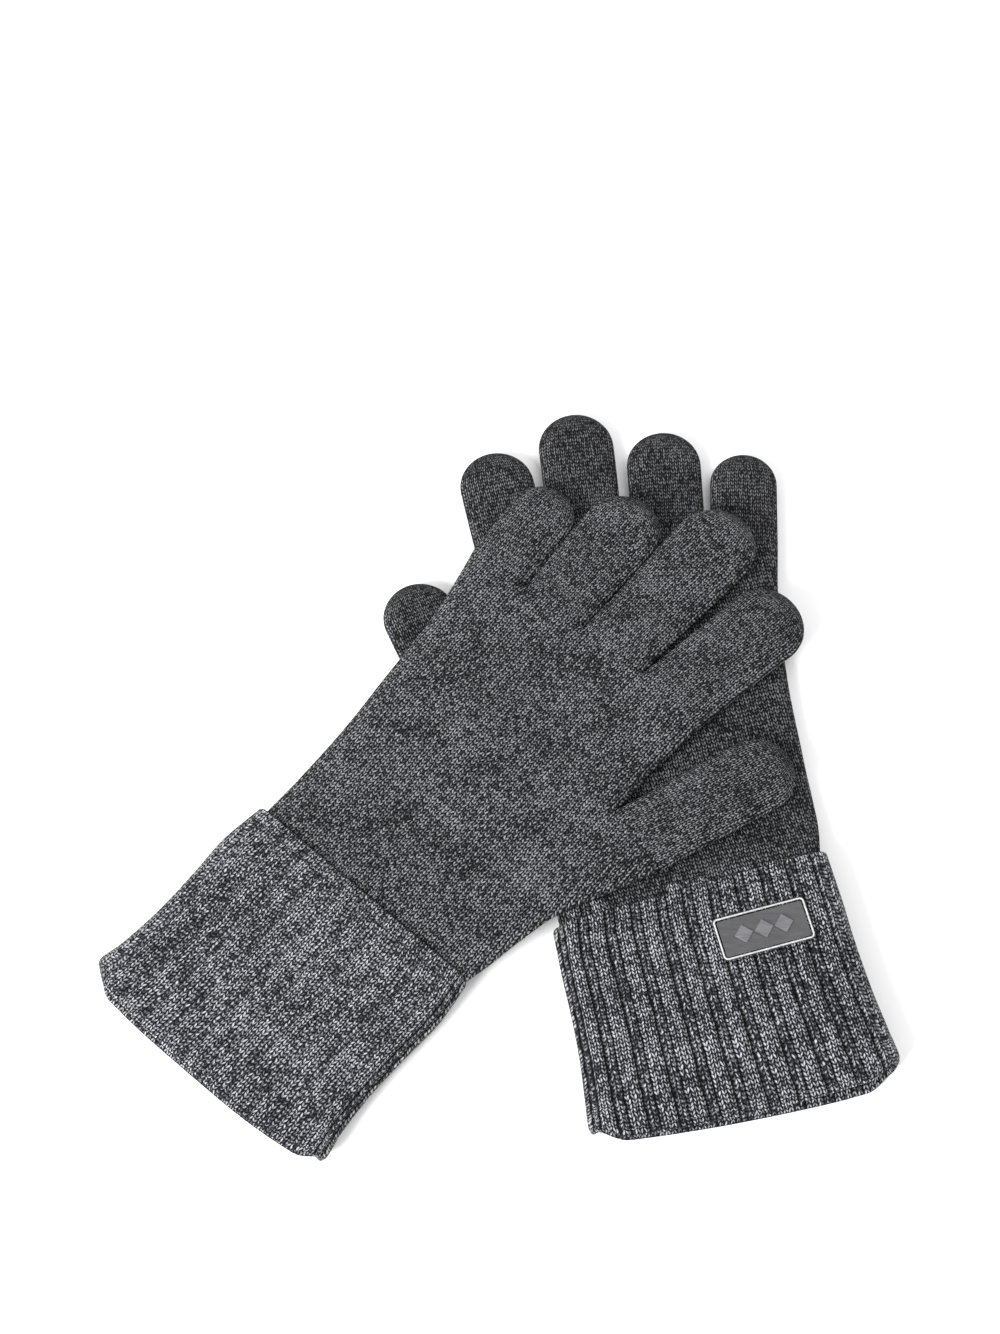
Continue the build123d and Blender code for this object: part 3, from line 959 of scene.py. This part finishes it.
def stitch_tree(thread_material):
    """Overcast stitches: one small loop of thread copied along a line."""
    tree = bpy.data.node_groups.new("overcast_stitches", "GeometryNodeTree")
    tree.interface.new_socket("Geometry", in_out="INPUT", socket_type="NodeSocketGeometry")
    for title, value in (("Stitch step", label().stitch_step), ("Stitch length", 0.0011),
                         ("Thread radius", 0.00022), ("Slant", 0.5)):
        socket = tree.interface.new_socket(title, in_out="INPUT", socket_type="NodeSocketFloat")
        socket.default_value = value
    tree.interface.new_socket("Geometry", in_out="OUTPUT", socket_type="NodeSocketGeometry")
    build = Nodes(tree)
    line, step, length, radius, slant = build.node("NodeGroupInput")[:5]
    points = build.node("GeometryNodeResampleCurve", dict(mode="LENGTH"),
                        {"Curve": line, "Length": step})[0]
    tangent = build.node("GeometryNodeInputTangent")[0]
    align = build.node("FunctionNodeAlignRotationToVector", dict(axis="X", pivot_axis="Z"),
                       {"Vector": tangent})[0]
    angles = build.node("ShaderNodeCombineXYZ", None, {"Z": slant})[0]
    euler = build.node("FunctionNodeEulerToRotation", None, [angles])[0]
    turn = build.node("FunctionNodeRotateRotation", dict(rotation_space="LOCAL"), [align, euler])[0]
    ball = build.node("GeometryNodeMeshUVSphere", None, {"Segments": 8, "Rings": 6, "Radius": 1.0})[0]
    size = build.node("ShaderNodeCombineXYZ", None, [radius, length * 0.5, radius])[0]
    loop = build.node("GeometryNodeTransform", None, {"Geometry": ball, "Scale": size})[0]
    copies = build.node("GeometryNodeInstanceOnPoints", None,
                        {"Points": points, "Instance": loop, "Rotation": turn})[0]
    real = build.node("GeometryNodeRealizeInstances", None, [copies])[0]
    rounded = build.node("GeometryNodeSetShadeSmooth", None, [real])[0]
    painted = build.node("GeometryNodeSetMaterial", None,
                         {"Geometry": rounded, "Material": thread_material})[0]
    build.node("NodeGroupOutput", None, [painted])
    return tree


def overcast(name, path, height):
    """Runs the stitch tree on a closed line and returns a plain mesh piece."""
    centre, long, short, floor_z = label_frame()
    line = bpy.data.curves.new(name + "_line", "CURVE")
    line.dimensions = "3D"
    spline = line.splines.new("POLY")
    spline.points.add(len(path) - 1)
    for point, (a, b) in zip(spline.points, path):
        xy = centre + (a * long + b * short) * MM
        point.co = (xy[0], xy[1], floor_z + height * MM, 1)
    spline.use_cyclic_u = True
    guide = place(name + "_guide", line)
    modifier = guide.modifiers.new("stitches", "NODES")
    modifier.node_group = stitch_tree(material("sewing"))
    bpy.context.view_layer.update()
    seen = guide.evaluated_get(bpy.context.evaluated_depsgraph_get())
    mesh = bpy.data.meshes.new_from_object(seen)
    bpy.data.objects.remove(guide)
    if not len(mesh.polygons):
        raise RuntimeError("the overcast stitches came out empty")
    return place(name, mesh)


# ---- operators --------------------------------------------------------------------------------
class GLOVES_OT_hands(bpy.types.Operator):
    """Knits both hands from the wrist to the finger bases"""
    bl_idname = "gloves.hands"
    bl_label = "Hands"

    def execute(self, context):
        for glove in gloves().values():
            obj = hand_piece(glove)
            # the right glove takes the darker copy of the knit, which is painted shade
            dress(obj, material("plain" if glove.side == "left" else "plain_painted_shade"))
        return {"FINISHED"}


class GLOVES_OT_fingers(bpy.types.Operator):
    """Knits every finger and thumb"""
    bl_idname = "gloves.fingers"
    bl_label = "Fingers and thumbs"

    def execute(self, context):
        for glove in gloves().values():
            for name in FINGERS:
                end = tip_seam(glove, name) if name in TIPPED else 1e3
                obj = finger_part(glove, name, f"{glove.side}_{name}_knit", -1e3, end)
                # the right glove takes the darker copy of the knit, which is painted shade
                dress(obj, material("plain" if glove.side == "left" else "plain_painted_shade"))
                blend_finger(glove, name, obj)
                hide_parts(f"{glove.side}_{name}")
        return {"FINISHED"}


class GLOVES_OT_touch_tips(bpy.types.Operator):
    """Adds the conductive caps of the index fingers and thumbs"""
    bl_idname = "gloves.touch_tips"
    bl_label = "Touch tips"

    def execute(self, context):
        for glove in gloves().values():
            for name in TIPPED:
                short = name.replace("_finger", "")
                obj = finger_part(glove, name, f"{glove.side}_{short}_touch_cap",
                                  tip_seam(glove, name), 1e3)
                # the right glove's caps take the darker copy, which is painted shade
                dress(obj, material(f"touch_{glove.side}"))
                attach(obj, f"{glove.side}_{name}")
                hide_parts(f"{glove.side}_{short}_touch_tip")
        return {"FINISHED"}


class GLOVES_OT_cuffs(bpy.types.Operator):
    """Knits the wrists, the turned-back cuffs and their bound-off edges"""
    bl_idname = "gloves.cuffs"
    bl_label = "Ribbed wrists and cuffs"

    def execute(self, context):
        for glove in gloves().values():
            for obj in (wrist_piece(glove), cuff_piece(glove, False), cuff_piece(glove, True)):
                # the right glove's rib copy is darker, which is painted shade
                dress(obj, material(f"rib_{glove.side}"))
        return {"FINISHED"}


class GLOVES_OT_label(bpy.types.Operator):
    """Dresses the sewn label: satin patch, twisted border, overcast stitches and plain sign"""
    bl_idname = "gloves.label"
    bl_label = "Label"

    def execute(self, context):
        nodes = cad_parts
        for node, kind in (("right_label_patch", "patch"), ("right_label_motif", "sign")):
            dress(nodes[node], material(kind))
        path = label_path(LABEL_LONG - 0.7, LABEL_WIDE - 0.7, 1.1, 0.25)
        cord = cord_mesh("right_label_cord", path, 0.62, 0.26, 3, 0.9)
        dress(cord, material("thread"))
        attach(cord, "right_cuff")
        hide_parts("right_label_border")
        path = label_path(LABEL_LONG - 0.3, LABEL_WIDE - 0.3, 1.3, 0.3)
        sewn = overcast("right_label_overcast", path, 0.30)
        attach(sewn, "right_cuff")
        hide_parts("right_label_stitches")
        return {"FINISHED"}


class GLOVES_OT_stage(bpy.types.Operator):
    """Sets the pale table, the soft light and the camera"""
    bl_idname = "gloves.stage"
    bl_label = "Table, light and camera"

    def execute(self, context):
        settings = context.scene.glove_stage
        mesh = bpy.data.meshes.new("table")
        mesh.from_pydata([(-6, -6, 0), (6, -6, 0), (6, 6, 0), (-6, 6, 0)], [], [(0, 1, 2, 3)])
        table = place("table", mesh)
        shade = Shade("pale_table")
        dress(table, shade.finish(Base_Color=(0.97, 0.97, 0.97, 1.0), Roughness=0.9, Specular_IOR_Level=0.1))
        world = bpy.data.worlds.new("studio")
        context.scene.world = world
        world.use_nodes = True
        world.node_tree.nodes["Background"].inputs["Color"].default_value = (1, 1, 1, 1)
        world.node_tree.nodes["Background"].inputs["Strength"].default_value = 0.86
        for name, at, size, power in (("key", (-0.85, -0.75, 0.85), 0.6, 34.0),
                                      ("fill", (0.6, 0.4, 1.4), 1.2, 8.0)):
            lamp = bpy.data.lights.new(name, "AREA")
            lamp.size = size
            lamp.energy = power
            holder = bpy.data.objects.new(name, lamp)
            context.scene.collection.objects.link(holder)
            holder.location = at
            aim = -np.array(at)
            holder.rotation_euler = (math.atan2(math.hypot(aim[0], aim[1]), -aim[2]), 0,
                                     math.atan2(aim[1], aim[0]) - math.pi / 2)
        camera = bpy.data.cameras.new("camera")
        camera.lens = settings.lens
        camera.sensor_width = 36.0
        camera.clip_start = 0.01
        view = bpy.data.objects.new("camera", camera)
        context.scene.collection.objects.link(view)
        target = (0.0023, 0.0368, 0.0)
        view.location = (target[0], target[1] - settings.distance * math.cos(settings.tilt),
                         settings.distance * math.sin(settings.tilt))
        view.rotation_euler = (math.pi / 2 - settings.tilt, 0, 0)
        context.scene.camera = view
        context.scene.view_settings.view_transform = "Standard"
        return {"FINISHED"}


class GLOVES_PT_panel(bpy.types.Panel):
    """Buttons for each step"""
    bl_idname = "GLOVES_PT_panel"
    bl_label = "Touchscreen gloves"
    bl_space_type = "VIEW_3D"
    bl_region_type = "UI"
    bl_category = "Gloves"

    def draw(self, context):
        for step in STEPS:
            self.layout.operator(step.bl_idname)
        for group in ("glove_shape", "glove_yarn", "glove_label", "glove_stage"):
            settings = getattr(context.scene, group)
            box = self.layout.box()
            for prop in settings.bl_rna.properties:
                if prop.identifier not in ("rna_type", "name"):
                    box.prop(settings, prop.identifier)


STEPS = (GLOVES_OT_stage, GLOVES_OT_hands, GLOVES_OT_fingers, GLOVES_OT_touch_tips,
         GLOVES_OT_cuffs, GLOVES_OT_label)
GROUPS = (("glove_shape", ShapeSizes), ("glove_yarn", YarnColours),
          ("glove_label", LabelSizes), ("glove_stage", StageSizes))


def register():
    for name, group in GROUPS:
        bpy.utils.register_class(group)
        setattr(bpy.types.Scene, name, bpy.props.PointerProperty(type=group))
    for step in STEPS:
        bpy.utils.register_class(step)
    bpy.utils.register_class(GLOVES_PT_panel)


def unregister():
    bpy.utils.unregister_class(GLOVES_PT_panel)
    for step in reversed(STEPS):
        bpy.utils.unregister_class(step)
    for name, group in reversed(GROUPS):
        delattr(bpy.types.Scene, name)
        bpy.utils.unregister_class(group)


def main():
    register()
    for step in STEPS:
        group, call = step.bl_idname.split(".")
        getattr(getattr(bpy.ops, group), call)()


if __name__ == "__main__":
    main()
